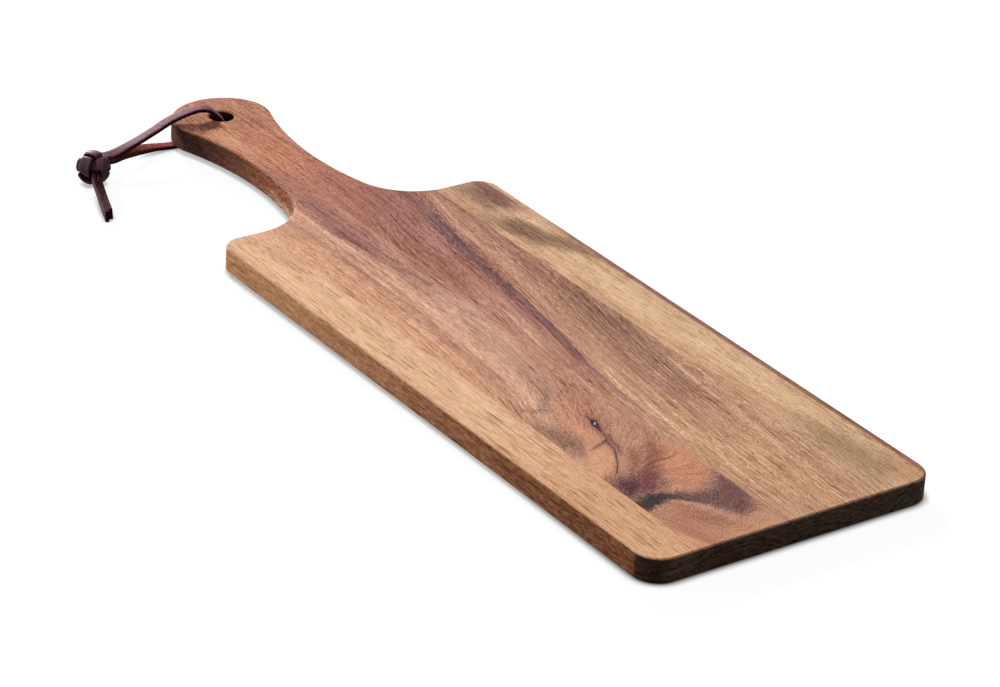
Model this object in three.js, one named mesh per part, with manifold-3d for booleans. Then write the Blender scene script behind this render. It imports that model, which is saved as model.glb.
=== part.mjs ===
import * as THREE from "three";
import { mergeVertices } from "three/addons/utils/BufferGeometryUtils.js";
import Module from "manifold-3d";

// A wooden serving board with a paddle handle and a leather hanging lace. Millimetres, +Z up, the table
// is z = 0, the handle points to -X and the lace lies off the -Y edge.
const boardLength = 400;
const handleLength = 120;
const boardWidth = 125;
const boardThickness = 10;
const edgeEase = 1;
const bodyCornerRadius = 10;
const shoulderRadius = 8.5;
const sweepRadius = 26.5; // hollow curve that runs from the shoulder into the neck
const neckWidth = 26;
const neckShare = 13 / 30; // the neck is narrowest at this share of the handle's length from the shoulder
const flankShare = 67 / 60; // radius of the handle's long hollow flank, as a share of its length
const gripCornerRadius = 17.4;
const gripEndRadius = 23;
const holeDiameter = 10;
const holeFromEnd = 19;
const holeEase = 0.4;
const chordError = 0.03;

// Five boards glued edge to edge; the streaked one takes what is left of the width.
const nearStaveWidth = 20;
const knottyStaveWidth = 38;
const paleStaveWidth = 21.5;
const edgeStripWidth = 3;

// Flat leather lace: out through the hole in a high arch, back under the handle, both ends through the knot.
const laceWidth = 4.8;
const laceThickness = 1.5;
const restGap = 0.3;
const butGap = 0.3;
const knotRadius = 7.05;
const knotDown = -66.05; // from the hole to the middle of the knot, along Y
const knotAlong = 10.55; // and along X
const tailReach = 37; // from the middle of the knot to the cut ends
const tailRoll = 95; // the ends stand on edge and lean a little
const shorterTail = 0.925; // one end is cut this much shorter
const strandThickness = 1.5;
const strandWidth = 4;
const strandGap = 0.7;
const strandSqueeze = 0.18; // share of its width that the strand loses or gains going under or over
const coreShare = 0.66; // the lace is squeezed to this share of its width inside the knot

const wasm = await Module();
wasm.setup();

const half = boardLength / 2;
const neckFromShoulder = handleLength * neckShare;
const flankRadius = handleLength * flankShare;
const holeX = -half + holeFromEnd;
const degree = Math.PI / 180;

function toSolid(geometry) {
  const bare = geometry.clone();
  bare.deleteAttribute("normal");
  bare.deleteAttribute("uv");
  const merged = mergeVertices(bare, 1e-4);
  return new wasm.Manifold(
    new wasm.Mesh({
      numProp: 3,
      vertProperties: new Float32Array(merged.attributes.position.array),
      triVerts: new Uint32Array(merged.index.array),
    }),
  );
}

function toGeometry(solid) {
  const mesh = solid.getMesh();
  const geometry = new THREE.BufferGeometry();
  geometry.setAttribute("position", new THREE.BufferAttribute(mesh.vertProperties, 3));
  geometry.setIndex(new THREE.BufferAttribute(mesh.triVerts, 1));
  geometry.computeVertexNormals();
  return geometry;
}

function arc(centre, radius, from, to) {
  const step = 2 * Math.acos(1 - chordError / radius);
  const count = Math.max(3, Math.ceil(Math.abs(to - from) / step));
  const points = [];
  for (let i = 0; i <= count; i++) {
    const angle = from + ((to - from) * i) / count;
    points.push(
      new THREE.Vector2(centre.x + radius * Math.cos(angle), centre.y + radius * Math.sin(angle)),
    );
  }
  return points;
}

// Half of the outline from the far end round to the tip of the handle, then its mirror image.
function outline() {
  const shoulderX = -half + handleLength;
  const flank = new THREE.Vector2(shoulderX - neckFromShoulder, neckWidth / 2 + flankRadius);
  const sweepX = shoulderX - sweepRadius;
  const sweepReach = flankRadius - sweepRadius;
  const sweep = new THREE.Vector2(sweepX, flank.y - Math.sqrt(sweepReach ** 2 - (sweepX - flank.x) ** 2));
  const crown = new THREE.Vector2(-half + gripEndRadius, 0);
  const toFlank = flank.clone().sub(crown);
  const apart = toFlank.length();
  const near = gripEndRadius - gripCornerRadius;
  const far = flankRadius + gripCornerRadius;
  const turn = Math.acos((near ** 2 + apart ** 2 - far ** 2) / (2 * near * apart));
  const cornerAngle = toFlank.angle() + turn;
  const corner = new THREE.Vector2(
    crown.x + near * Math.cos(cornerAngle),
    near * Math.sin(cornerAngle),
  );
  const sweepEnd = Math.atan2(sweep.y - flank.y, sweep.x - flank.x);
  const flankEnd = Math.atan2(corner.y - flank.y, corner.x - flank.x);
  const bodyCorner = new THREE.Vector2(half - bodyCornerRadius, boardWidth / 2 - bodyCornerRadius);
  const shoulder = new THREE.Vector2(shoulderX + shoulderRadius, boardWidth / 2 - shoulderRadius);
  const upper = [
    ...arc(bodyCorner, bodyCornerRadius, 0, Math.PI / 2),
    ...arc(shoulder, shoulderRadius, Math.PI / 2, Math.PI),
    ...arc(sweep, sweepRadius, 0, sweepEnd),
    ...arc(flank, flankRadius, sweepEnd, flankEnd),
    ...arc(corner, gripCornerRadius, flankEnd + Math.PI, cornerAngle),
    ...arc(crown, gripEndRadius, cornerAngle, Math.PI),
  ];
  const lower = upper.map((p) => new THREE.Vector2(p.x, -p.y)).reverse();
  return [...upper, ...lower].filter((p, i, all) => p.distanceTo(all[(i + 1) % all.length]) > 0.01);
}

function eased() {
  const blank = new THREE.ExtrudeGeometry(new THREE.Shape(outline()), {
    depth: boardThickness - 2 * edgeEase,
    bevelEnabled: true,
    bevelThickness: edgeEase,
    bevelSize: edgeEase,
    bevelOffset: -edgeEase,
    bevelSegments: 3,
    steps: 1,
  });
  return toSolid(blank.translate(0, 0, edgeEase));
}

function drill() {
  const sides = 48;
  const radius = holeDiameter / 2;
  const flare = holeEase + 1; // the eased rims run on 1 mm clear of each face
  const shank = new THREE.CylinderGeometry(radius, radius, boardThickness + 2, sides);
  const upperRim = new THREE.CylinderGeometry(radius + flare, radius, flare, sides);
  const lowerRim = new THREE.CylinderGeometry(radius, radius + flare, flare, sides);
  upperRim.translate(0, boardThickness / 2 + 1 - flare / 2, 0);
  lowerRim.translate(0, -boardThickness / 2 - 1 + flare / 2, 0);
  const place = new THREE.Matrix4().makeTranslation(holeX, 0, boardThickness / 2);
  place.multiply(new THREE.Matrix4().makeRotationX(Math.PI / 2));
  const [a, b, c] = [shank, upperRim, lowerRim].map((g) => toSolid(g.applyMatrix4(place)));
  return a.add(b).add(c);
}

function wood(colour) {
  return new THREE.MeshStandardMaterial({ color: colour, roughness: 0.6, metalness: 0 });
}

// The handle rides on the lace that runs under it, so the board leans a third of a degree to its far end.
const lean = Math.asin((laceThickness + restGap) / (half - edgeEase - holeX - laceWidth / 2));
const board = new THREE.Group();
board.name = "board";
const drilled = eased().subtract(drill());
const streakedWidth = boardWidth - nearStaveWidth - knottyStaveWidth - paleStaveWidth - edgeStripWidth;
const staves = [
  ["near_stave", nearStaveWidth, 0xbf9274],
  ["knotty_stave", knottyStaveWidth, 0xa8745a],
  ["streaked_stave", streakedWidth, 0x9a6a55],
  ["pale_stave", paleStaveWidth, 0xb58c6c],
  ["edge_strip", edgeStripWidth, 0x9c6c52],
];
const spare = 20; // each cutting block stands this far proud of the blank
let edge = -boardWidth / 2;
staves.forEach(([name, width, colour], i) => {
  const from = i === 0 ? edge - spare : edge;
  edge += width;
  const to = i === staves.length - 1 ? edge + spare : edge;
  const block = new THREE.BoxGeometry(boardLength + spare, to - from, boardThickness + spare);
  block.translate(0, (from + to) / 2, boardThickness / 2);
  const stave = new THREE.Mesh(toGeometry(drilled.intersect(toSolid(block))), wood(colour));
  stave.name = name;
  board.add(stave);
});
board.rotation.y = lean;
board.updateMatrixWorld(true);
const leant = new THREE.Box3().setFromObject(board, true);
board.position.set(-(leant.min.x + leant.max.x) / 2, 0, -leant.min.z);

const under = laceThickness + restGap; // underside of the handle over the lace
const top = under + boardThickness;
const flat = laceThickness / 2;

// Knot axis: from the pole where the two runs go in to the pole where the two ends come out.
const knot = new THREE.Vector3(holeX + knotAlong, knotDown, knotRadius + 0.02);
const axis = new THREE.Vector3(0.9, -0.343, -0.28).normalize();
const acrossKnot = new THREE.Vector3(0, 0, 1).cross(axis).normalize();
const upKnot = axis.clone().cross(acrossKnot);
const acrossHeading = Math.atan2(acrossKnot.y, acrossKnot.x) / degree;

// A station is the lace's middle, the heading of its width in plan, its roll and the share of its full width.
function station(x, y, z, heading, roll, share = 1) {
  return { at: new THREE.Vector3(x, y, z), heading, roll, share };
}

function fromHole(list) {
  return list.map(([x, y, z, heading, roll]) => station(holeX + x, y, z, heading, roll));
}

// Through the knot the two ends lie flat against each other and make a quarter turn.
function throughKnot(sideOf) {
  const apart = (laceThickness * coreShare + restGap) / 2 + 0.03;
  return [
    [-0.95, 0, 0.72, 1.5],
    [-0.35, 30, coreShare, 1.1],
    [0.35, 60, coreShare, 1.1],
    [0.95, 85, 0.72, 1.4],
  ].map(([along, roll, share, spread]) => {
    const lift = upKnot.clone().multiplyScalar(Math.cos(roll * degree));
    lift.addScaledVector(acrossKnot, -Math.sin(roll * degree));
    const at = knot.clone().addScaledVector(axis, along * knotRadius);
    at.addScaledVector(lift, sideOf * apart * spread);
    return station(at.x, at.y, at.z, acrossHeading, roll, share);
  });
}

// Beyond it they stand on edge side by side and droop to the table.
function tail(sideOf) {
  const out = new THREE.Vector3(0.944, -0.33, 0).normalize();
  const beside = new THREE.Vector3(-out.y, out.x, 0);
  const mouth = knot.clone().addScaledVector(axis, knotRadius);
  const reach = tailReach - knotRadius;
  const heading = Math.atan2(beside.y, beside.x) / degree;
  const cut = sideOf > 0 ? 1 : shorterTail;
  const apart = (laceThickness + restGap) / 2 + 0.05;
  return [
    [0.17, 0.8],
    [0.45, 0.42],
    [0.72, 0.1],
    [1, 0],
  ].map(([share, height]) => {
    const at = mouth.clone().addScaledVector(out, reach * share * cut);
    at.addScaledVector(beside, -sideOf * apart);
    at.z = laceWidth / 2 + (mouth.z - laceWidth / 2) * height;
    return station(at.x, at.y, at.z, heading, tailRoll);
  });
}

const midHole = (under + top) / 2;
const overHalf = [
  ...fromHole([
    [0.1, 1.5, midHole, -22, 0],
    [0.1, 1, top - 3.4, -22, 0],
    [0.05, -0.5, top - 1.1, -22, 0],
    [-0.6, -2.7, top + 1.3, -21, 0],
    [-1.65, -5.4, top + 3.4, -16, -2],
    [-2.75, -9.4, top + 4, -6, -1],
    [-3.25, -14, top + 3.45, 3, 0],
    [-2.75, -22.8, top + 1.8, 8, 2],
    [-0.95, -32.2, 11.1, 7.5, 5],
    [1.2, -44, 8.4, 8, 2],
    [3.1, -55.2, 6.9, 14, -9],
  ]),
  ...throughKnot(1),
  ...tail(1),
];
const underHalf = [
  ...fromHole([
    [0.1, 1.5, midHole, -22, 0],
    [0.1, 1.2, under + 3.1, -21, 0],
    [0, 0.2, under + 1.1, -20, 0],
    [-0.5, -1.9, under - 0.5, -17, 0],
    [-1.7, -5.2, flat, -14.5, 0],
    [-3.3, -11, flat, -11, 0],
    [-4.8, -17, flat, -5, 0],
    [-5.1, -22.6, flat + 0.3, 2, 0],
    [-4.5, -29.7, 2.2, 10, -7],
    [-2.75, -37.2, 3.4, 13, -20],
    [-0.5, -46.2, 4.3, 15, -28],
    [2.3, -55.2, 4.7, 20, -14],
  ]),
  ...throughKnot(-1),
  ...tail(-1),
];

// Fine stations along one half of the lace with the distance run so far.
function follow(stations) {
  const path = new THREE.CatmullRomCurve3(stations.map((s) => s.at));
  const set = new THREE.CatmullRomCurve3(
    stations.map((s) => new THREE.Vector3(s.heading, s.roll, s.share)),
    false,
    "catmullrom",
    0.5,
  );
  const count = (stations.length - 1) * 40;
  const made = [];
  let run = 0;
  for (let i = 0; i <= count; i++) {
    const at = path.getPoint(i / count);
    if (i) run += at.distanceTo(made[i - 1].at);
    const turn = set.getPoint(i / count);
    made.push({ at, ahead: path.getTangent(i / count), turn, run });
  }
  return made;
}

// Rounded-edge strap section, as shares of the width and thickness.
const section = [
  [-0.5, 0.2],
  [-0.43, 0.5],
  [0.43, 0.5],
  [0.5, 0.2],
  [0.5, -0.2],
  [0.43, -0.5],
  [-0.43, -0.5],
  [-0.5, -0.2],
];

function strapRing({ at, ahead, turn }) {
  const heading = turn.x * degree;
  const roll = turn.y * degree;
  const side = new THREE.Vector3(
    Math.cos(roll) * Math.cos(heading),
    Math.cos(roll) * Math.sin(heading),
    Math.sin(roll),
  );
  side.addScaledVector(ahead, -side.dot(ahead)).normalize();
  const face = side.clone().cross(ahead).normalize();
  const ring = section.map(([w, h]) =>
    at
      .clone()
      .addScaledVector(side, w * laceWidth * turn.z)
      .addScaledVector(face, h * laceThickness * Math.min(1, turn.z + 0.02)),
  );
  const low = Math.min(...ring.map((p) => p.z));
  const lift = Math.max(0, 0.01 - low); // nothing goes below the table
  ring.forEach((p) => p.setZ(p.z + lift));
  return ring;
}

function skin(rings, capFan) {
  const sides = rings[0].length;
  const index = [];
  for (let r = 0; r + 1 < rings.length; r++) {
    for (let s = 0; s < sides; s++) {
      const a = r * sides + s;
      const b = r * sides + ((s + 1) % sides);
      index.push(a, b, a + sides, b, b + sides, a + sides);
    }
  }
  const last = (rings.length - 1) * sides;
  capFan.forEach(([a, b, c]) => {
    index.push(a, c, b);
    index.push(last + a, last + b, last + c);
  });
  const geometry = new THREE.BufferGeometry();
  geometry.setAttribute(
    "position",
    new THREE.Float32BufferAttribute(rings.flat().flatMap((p) => [p.x, p.y, p.z]), 3),
  );
  geometry.setIndex(index);
  const solid = toSolid(geometry);
  if (solid.volume() > 0) return toGeometry(solid);
  geometry.setIndex(index.map((v, i) => index[i - (i % 3) + [0, 2, 1][i % 3]]));
  return toGeometry(toSolid(geometry));
}

const octagonFan = [1, 2, 3, 4, 5, 6].map((i) => [0, i, i + 1]);

// The stretch of a followed half between two distances, with a station about every two millimetres.
function stretch(made, from, to) {
  const spacing = 2;
  const count = Math.max(2, Math.round((to - from) / spacing));
  const picked = [];
  for (let i = 0; i <= count; i++) {
    const want = from + ((to - from) * i) / count;
    const after = Math.max(1, made.findIndex((m) => m.run >= want));
    const a = made[after - 1];
    const b = made[after];
    const share = (want - a.run) / (b.run - a.run);
    picked.push({
      at: a.at.clone().lerp(b.at, share),
      ahead: a.ahead.clone().lerp(b.ahead, share).normalize(),
      turn: a.turn.clone().lerp(b.turn, share),
    });
  }
  return picked;
}

const over = follow(overHalf);
const below = follow(underHalf);
const steps = 40;
const bendOver = over[4 * steps].run; // the bend ends where the arch has cleared the hole
const bendUnder = below[4 * steps].run;
const coreOver = over[13 * steps - steps / 2].run; // the runs end at the middle of the knot
const coreUnder = below[14 * steps - steps / 2].run;
const reverse = (list) =>
  list.reverse().map((s) => ({ at: s.at, ahead: s.ahead.negate(), turn: s.turn }));
const bend = [
  ...reverse(stretch(below, 0, bendUnder)),
  ...stretch(over, 0, bendOver).slice(1),
];
const laceNodes = [
  ["lace_hole_bend", bend],
  ["lace_over_run", stretch(over, bendOver + butGap, coreOver)],
  ["lace_under_run", stretch(below, bendUnder + butGap, coreUnder)],
  ["lace_over_tail", stretch(over, coreOver + butGap, over.at(-1).run)],
  ["lace_under_tail", stretch(below, coreUnder + butGap, below.at(-1).run)],
];

const leather = () => new THREE.MeshStandardMaterial({ color: 0x5b3d40, roughness: 0.7, metalness: 0 });
const lace = new THREE.Group();
lace.name = "lace";
laceNodes.forEach(([name, stations]) => {
  const piece = new THREE.Mesh(skin(stations.map(strapRing), octagonFan), leather());
  piece.name = name;
  lace.add(piece);
});

// The knot: one strand woven over and under itself in three leads and four bights round the two ends.
const leads = 3;
const bights = 4;
const knotTurn = 45 * degree; // a bight arches over the two ends
const bightReach = 42 * degree; // how far each bight leans from the knot's equator to a pole
const overRho = knotRadius - strandThickness / 2;
const underRho = overRho - strandThickness - strandGap;

const ease = (share) => share * share * (3 - 2 * share);

// -1 where the strand lies over, +1 where it lies under, through half a turn of its wave in degrees.
function layer(wave) {
  const at = ((wave % 360) + 360) % 360;
  if (at >= 80 && at < 158) return 1;
  if (at >= 158 && at < 195) return 1 - 2 * ease((at - 158) / 37);
  if (at >= 195 && at < 285) return -1;
  const rise = at >= 285 ? at - 285 : at + 75;
  return -1 + 2 * ease(rise / 155);
}

function strandAt(t) {
  const wave = (bights * t) / leads;
  const high = -layer((2 * wave) / degree);
  const fromPole = Math.PI / 2 + bightReach * Math.cos(wave);
  const out = axis.clone().multiplyScalar(Math.cos(fromPole));
  out.addScaledVector(acrossKnot, Math.sin(fromPole) * Math.cos(t + knotTurn));
  out.addScaledVector(upKnot, Math.sin(fromPole) * Math.sin(t + knotTurn));
  return { out, rho: (overRho + underRho) / 2 + ((overRho - underRho) / 2) * high, high };
}

function strandRing(t) {
  const { out, rho, high } = strandAt(t);
  const before = strandAt(t - 0.01).out;
  const ahead = strandAt(t + 0.01).out.sub(before).normalize();
  const side = out.clone().cross(ahead).normalize();
  const width = strandWidth * (1 - strandSqueeze + strandSqueeze * high);
  return section.map(([w, h]) => {
    const swing = (w * width) / rho;
    const at = out.clone().multiplyScalar(Math.cos(swing)).addScaledVector(side, Math.sin(swing));
    return knot.clone().addScaledVector(at, rho + h * strandThickness);
  });
}

const strandStart = Math.PI / 4; // both ends are tucked under one crossing
const endGap = 0.08;
const strandStations = 132;
const strandSpan = 2 * Math.PI * leads - 2 * endGap;
const strandRings = [];
for (let i = 0; i <= strandStations; i++) {
  strandRings.push(strandRing(strandStart + endGap + (strandSpan * i) / strandStations));
}

function leastGap(rings, apart) {
  let least = Infinity;
  rings.forEach((ring, i) => {
    for (let j = i + apart; j < rings.length; j++) {
      for (const p of ring) {
        for (const q of rings[j]) least = Math.min(least, p.distanceTo(q));
      }
    }
  });
  return least;
}
console.log("woven knot, least gap to itself", leastGap(strandRings, 16).toFixed(2), "mm");
console.log("lace, hole to cut end, over", over.at(-1).run.toFixed(1), "under", below.at(-1).run.toFixed(1));

const woven = new THREE.Mesh(skin(strandRings, octagonFan), leather());
woven.name = "woven_knot";
lace.add(woven);

const servingBoard = new THREE.Group();
servingBoard.name = "serving_board";
servingBoard.add(board, lace);
export default servingBoard;
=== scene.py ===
import bpy
import bmesh
import math
from mathutils import Matrix, Vector


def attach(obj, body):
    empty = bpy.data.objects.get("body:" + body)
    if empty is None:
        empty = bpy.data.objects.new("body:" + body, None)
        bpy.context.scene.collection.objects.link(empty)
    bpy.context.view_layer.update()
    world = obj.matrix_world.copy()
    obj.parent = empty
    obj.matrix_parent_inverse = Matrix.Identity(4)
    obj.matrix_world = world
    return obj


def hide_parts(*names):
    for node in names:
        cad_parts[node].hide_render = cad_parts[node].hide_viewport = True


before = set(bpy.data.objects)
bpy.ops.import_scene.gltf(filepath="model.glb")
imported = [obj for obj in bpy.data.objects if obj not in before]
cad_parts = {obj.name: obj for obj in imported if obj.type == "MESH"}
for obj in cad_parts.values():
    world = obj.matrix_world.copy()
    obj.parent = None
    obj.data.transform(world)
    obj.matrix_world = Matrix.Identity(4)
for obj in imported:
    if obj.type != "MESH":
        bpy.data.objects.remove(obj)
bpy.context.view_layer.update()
scene = bpy.context.scene
scene.view_settings.view_transform = "Standard"
mm = 0.001
print("frame loaded, nodes:", len(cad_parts))

# camera: right, up and back are the camera's own axes
shot = {
    "place": (1.073752, -0.768102, 0.659715),
    "right": (0.568233, 0.821342, 0.050094),
    "up": (-0.398608, 0.221491, 0.889974),
    "back": (0.719877, -0.525680, 0.453252),
    "lens": 140.0, "sensor": 36, "clip": (0.05, 50),
}


def setCamera():
    data = bpy.data.cameras.new("photoCamera")
    data.lens = shot["lens"]
    data.sensor_width = shot["sensor"]
    data.clip_start, data.clip_end = shot["clip"]
    camera = bpy.data.objects.new("photoCamera", data)
    scene.collection.objects.link(camera)
    turn = Matrix((shot["right"], shot["up"], shot["back"])).transposed().to_4x4()
    camera.matrix_world = Matrix.Translation(shot["place"]) @ turn
    scene.camera = camera


setCamera()
print("camera set")


# node helpers, shared by wood, leather and floor
def addNode(tree, kind, inputs={}, **settings):
    node = tree.nodes.new(kind)
    for key, value in settings.items():
        setattr(node, key, value)
    for key, value in inputs.items():
        if isinstance(value, bpy.types.NodeSocket):
            tree.links.new(value, node.inputs[key])
        else:
            node.inputs[key].default_value = value
    return node


def calc(tree, operation, *values, clamp=False):
    rows = dict(enumerate(values))
    return addNode(tree, "ShaderNodeMath", rows, operation=operation, use_clamp=clamp).outputs[0]


def times(tree, first, *others):
    for value in others:
        first = calc(tree, "MULTIPLY", first, value)
    return first


def fade(tree, value, start, end, low=0.0, high=1.0):
    rows = {0: value, 1: start, 2: end, 3: low, 4: high}
    return addNode(tree, "ShaderNodeMapRange", rows, interpolation_type="SMOOTHSTEP").outputs[0]


def colour(code):
    parts = [int(code[i:i + 2], 16) / 255 for i in (1, 3, 5)]
    return [p / 12.92 if p < 0.04045 else ((p + 0.055) / 1.055) ** 2.4 for p in parts] + [1.0]


def tint(tree, amount, under, over, how="MIX"):
    under = colour(under) if isinstance(under, str) else under
    over = colour(over) if isinstance(over, str) else over
    rows = {0: amount, 6: under, 7: over}
    return addNode(tree, "ShaderNodeMix", rows, data_type="RGBA", blend_type=how).outputs[2]


# multiplies a colour over the base: real stains, and also painted light and shade
def stainAndPaintedShading(tree, amount, base, over):
    return tint(tree, amount, base, over, "MULTIPLY")


def scaled(tree, vector, amount):
    return addNode(tree, "ShaderNodeVectorMath", {0: vector, "Scale": amount}, operation="SCALE").outputs[0]


def grit(tree, vector, scale, detail=2.0, rough=0.5):
    rows = {"Vector": vector, "Scale": scale, "Detail": detail, "Roughness": rough}
    return addNode(tree, "ShaderNodeTexNoise", rows).outputs[0]


def stretch(tree, x, y, z, sizes):
    rows = {i: calc(tree, "MULTIPLY", v, s) for i, (v, s) in enumerate(zip((x, y, z), sizes))}
    return addNode(tree, "ShaderNodeCombineXYZ", rows).outputs[0]


def ramp(tree, value, stops):
    node = addNode(tree, "ShaderNodeValToRGB", {0: value})
    marks = node.color_ramp.elements
    while len(marks) < len(stops):
        marks.new(0.5)
    for mark, (place, code) in zip(marks, stops):
        mark.position = place
        mark.color = colour(code)
    return node.outputs[0]


def newMaterial(name):
    material = bpy.data.materials.new(name)
    material.use_nodes = True
    tree = material.node_tree
    tree.nodes.clear()
    shader = addNode(tree, "ShaderNodeBsdfPrincipled")
    out = addNode(tree, "ShaderNodeOutputMaterial")
    tree.links.new(shader.outputs[0], out.inputs[0])
    return material, tree, shader


def link(tree, socket, shader, name):
    tree.links.new(socket, shader.inputs[name])


def millimetres(tree):
    place = scaled(tree, addNode(tree, "ShaderNodeTexCoord").outputs["Object"], 1000.0)
    return place, addNode(tree, "ShaderNodeSeparateXYZ", {0: place}).outputs


# the lace, in mm and degrees: a row of its two halves is x from the hole, y, z over the table, then heading
# and roll of its width; a core row is the place along the knot, roll, share of the lace's size and spread;
# a tail row is the share of its reach and of the knot's height
lace = {
    "hole": (-181.0, 0.0),
    "width": 4.8, "thickness": 1.5,
    "gap": 0.3,  # between the two halves
    "offTable": 0.01, "steps": 12, "crease": 40,
    "knot": (-170.45, -66.05, 7.07), "knotRadius": 7.05, "axis": (0.9, -0.343, -0.28),
    "core": [(-0.95, 0, 0.72, 1.5), (-0.35, 30, 0.66, 1.1), (0.35, 60, 0.66, 1.1), (0.95, 85, 0.72, 1.4)],
    "coreShare": 0.66, "coreSlack": 0.03, "coreThicker": 0.02,
    "tail": [(0.17, 0.8), (0.45, 0.42), (0.72, 0.1), (1, 0)],
    "tailReach": 37, "lowerTail": 0.925, "tailTurn": (0.944, -0.33), "tailRoll": 95, "tailSlack": 0.05,
    "over": [
        (0.1, 1.5, 6.8, -22, 0),
        (0.1, 1.0, 8.4, -22, 0),
        (0.05, -0.5, 10.7, -22, 0),
        (-0.6, -2.7, 13.1, -21, 0),
        (-1.65, -5.4, 15.2, -16, -2),
        (-2.75, -9.4, 15.8, -6, -1),
        (-3.25, -14, 15.25, 3, 0),
        (-2.75, -22.8, 13.6, 8, 2),
        (-0.95, -32.2, 11.1, 7.5, 5),
        (1.2, -44, 8.4, 8, 2),
        (3.1, -55.2, 6.9, 14, -9),
    ],
    "below": [
        (0.1, 1.5, 6.8, -22, 0),
        (0.1, 1.2, 4.9, -21, 0),
        (0, 0.2, 2.9, -20, 0),
        (-0.5, -1.9, 1.3, -17, 0),
        (-1.7, -5.2, 0.75, -14.5, 0),
        (-3.3, -11, 0.75, -11, 0),
        (-4.8, -17, 0.75, -5, 0),
        (-5.1, -22.6, 1.05, 2, 0),
        (-4.5, -29.7, 2.2, 10, -7),
        (-2.75, -37.2, 3.4, 13, -20),
        (-0.5, -46.2, 4.3, 15, -28),
        (2.3, -55.2, 4.7, 20, -14),
    ],
}
knotAxis = Vector(lace["axis"]).normalized()
knotAcross = Vector((0, 0, 1)).cross(knotAxis).normalized()
knotUp = knotAxis.cross(knotAcross)
knotPlace = Vector(lace["knot"])


def laceStations(rows, sideOf):
    made = [(Vector((lace["hole"][0] + x, y, z)), Vector((h, r, 1))) for x, y, z, h, r in rows]
    heading = math.degrees(math.atan2(knotAcross.y, knotAcross.x))
    radius = lace["knotRadius"]
    apart = (lace["thickness"] * lace["coreShare"] + lace["gap"]) / 2 + lace["coreSlack"]
    for along, roll, share, spread in lace["core"]:
        lift = knotUp * math.cos(math.radians(roll)) - knotAcross * math.sin(math.radians(roll))
        at = knotPlace + knotAxis * along * radius + lift * sideOf * apart * spread
        made.append((at, Vector((heading, roll, share))))
    out = Vector((*lace["tailTurn"], 0)).normalized()
    beside = Vector((-out.y, out.x, 0))
    mouth = knotPlace + knotAxis * radius
    reach = (lace["tailReach"] - radius) * (1 if sideOf > 0 else lace["lowerTail"])
    heading = math.degrees(math.atan2(beside.y, beside.x))
    apart = (lace["thickness"] + lace["gap"]) / 2 + lace["tailSlack"]
    for share, height in lace["tail"]:
        at = mouth + out * reach * share - beside * sideOf * apart
        at.z = lace["width"] / 2 + (mouth.z - lace["width"] / 2) * height
        made.append((at, Vector((heading, lace["tailRoll"], 1))))
    return made


def smoothRoute(points, perSpan, centripetal):
    padded = [points[0] * 2 - points[1]] + points + [points[-1] * 2 - points[-2]]
    made = []
    for i in range(1, len(padded) - 2):
        a, b, c, d = padded[i - 1:i + 3]
        if centripetal:
            s, t, u = ((q - p).length ** 0.5 for p, q in ((a, b), (b, c), (c, d)))
        else:
            s = t = u = 1.0
        near = ((b - a) / s - (c - a) / (s + t) + (c - b) / t) * t
        far = ((c - b) / t - (d - b) / (t + u) + (d - c) / u) * t
        for k in range(perSpan):
            w = k / perSpan
            bow = (b - c) * -3 - near * 2 - far
            made.append(b + near * w + bow * w * w + ((b - c) * 2 + near + far) * w ** 3)
    return made + [points[-1]]


# strap section as shares of width and thickness, each with the finish of the side that follows it:
# 0 the smooth outside, 1 the rough inside, 2 the cut edge
cutEdge = 2
strapSection = [
    (-0.5, 0.3, 2), (-0.489, 0.44, 0), (-0.46, 0.5, 0), (-0.2, 0.51, 0), (0.2, 0.51, 0), (0.46, 0.5, 0),
    (0.489, 0.44, 2), (0.5, 0.3, 2), (0.5, -0.3, 2), (0.489, -0.44, 1), (0.46, -0.5, 1), (0.2, -0.51, 1),
    (-0.2, -0.51, 1), (-0.46, -0.5, 1), (-0.489, -0.44, 2), (-0.5, -0.3, 2),
]


def skinRings(name, rings, finishes):
    mesh = bpy.data.meshes.new(name)
    body = bmesh.new()
    rows = [[body.verts.new(p * mm) for p in ring] for ring in rings]
    count = len(rings[0])
    for a, b in zip(rows, rows[1:]):
        for i in range(count):
            face = body.faces.new((a[i], a[(i + 1) % count], b[(i + 1) % count], b[i]))
            face.material_index = finishes[i]
    for row in (rows[0], rows[-1]):
        body.faces.new(row).material_index = cutEdge
    bmesh.ops.recalc_face_normals(body, faces=body.faces)
    body.to_mesh(mesh)
    body.free()
    mesh.shade_smooth()
    mesh.set_sharp_from_angle(angle=math.radians(lace["crease"]))
    piece = bpy.data.objects.new(name, mesh)
    scene.collection.objects.link(piece)
    return piece


def layLace(name, rows, sideOf):
    stations = laceStations(rows, sideOf)
    route = smoothRoute([s[0] for s in stations], lace["steps"], True)
    turns = smoothRoute([s[1] for s in stations], lace["steps"], False)
    rings = []
    for i, (at, turn) in enumerate(zip(route, turns)):
        ahead = (route[min(i + 1, len(route) - 1)] - route[max(i - 1, 0)]).normalized()
        heading, roll = math.radians(turn.x), math.radians(turn.y)
        level = math.cos(roll)
        side = Vector((level * math.cos(heading), level * math.sin(heading), math.sin(roll)))
        side = (side - ahead * side.dot(ahead)).normalized()
        face = side.cross(ahead).normalized()
        thick = lace["thickness"] * min(1, turn.z + lace["coreThicker"])
        ring = [at + side * w * lace["width"] * turn.z - face * h * thick * sideOf
                for w, h, _ in strapSection]
        lift = max(0, lace["offTable"] - min(p.z for p in ring))
        rings.append([p + Vector((0, 0, lift)) for p in ring])
    piece = skinRings(name, rings, [finish for _, _, finish in strapSection])
    length = sum((b - a).length for a, b in zip(route, route[1:])) * mm
    return piece, [p * mm for p in route], length


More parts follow.
